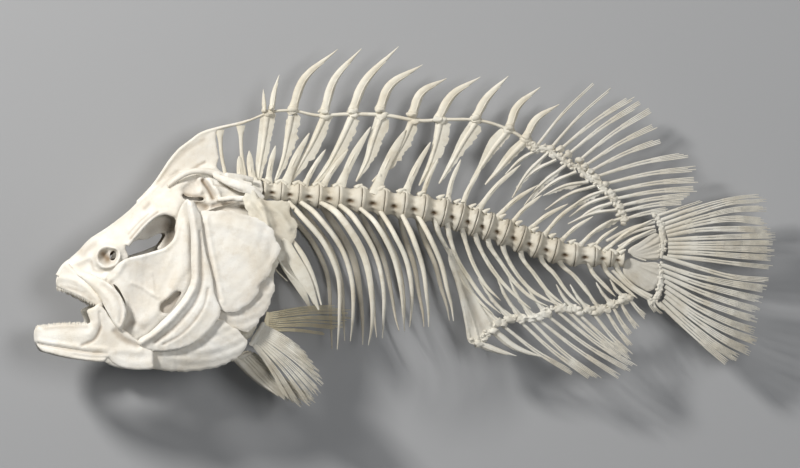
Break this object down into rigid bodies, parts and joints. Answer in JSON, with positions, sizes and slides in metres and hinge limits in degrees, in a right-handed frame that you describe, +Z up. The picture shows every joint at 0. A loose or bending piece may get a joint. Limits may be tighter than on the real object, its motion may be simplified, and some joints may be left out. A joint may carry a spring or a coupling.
{
  "type": "fish skeleton",
  "caption": "Life-size skeleton of a large perch-like fish with spiny dorsal fin, open jaws, gill covers, ribs and fins, lying on its right side.",
  "frame": {"origin": "centre of the footprint on the floor that the skeleton lies on", "axes": "+X from the snout to the tail, +Y towards the fish's back, +Z up, out of its left side"},
  "size_m": [0.5976, 0.2843, 0.0906],
  "materials": {
    "bone_white": "matte",
    "bone_ivory": "matte",
    "fin_ray_grey": "matte",
    "fin_ray_tan": "matte"
  },
  "bodies": {
    "root": {"skull": "bone_white", "upper_jaw_left": "bone_white", "upper_jaw_right": "bone_white", "lower_jaw_left": "bone_white", "lower_jaw_right": "bone_white", "throat": "bone_ivory", "cheek_left": "bone_white", "cheek_right": "bone_white", "preopercle_left": "bone_white", "preopercle_right": "bone_white", "opercle_left": "bone_white", "opercle_right": "bone_white", "subopercle_left": "bone_white", "subopercle_right": "bone_white", "interopercle_left": "bone_white", "interopercle_right": "bone_white", "shoulder_left": "bone_ivory", "shoulder_right": "bone_ivory", "pectoral_fin_left": "fin_ray_grey", "pectoral_fin_right": "fin_ray_tan", "pelvic_fin_left": "fin_ray_grey", "pelvic_fin_right": "fin_ray_grey", "spine_trunk": "bone_ivory", "ribs_left": "bone_ivory", "ribs_right": "bone_ivory", "spine_tail_front": "bone_ivory", "spine_tail_rear": "bone_ivory", "dorsal_fin_spiny": "bone_ivory", "dorsal_fin_soft": "fin_ray_grey", "anal_fin": "fin_ray_grey", "tail_fin_upper": "fin_ray_grey", "tail_fin_lower": "fin_ray_grey"}
  },
  "joints": []
}
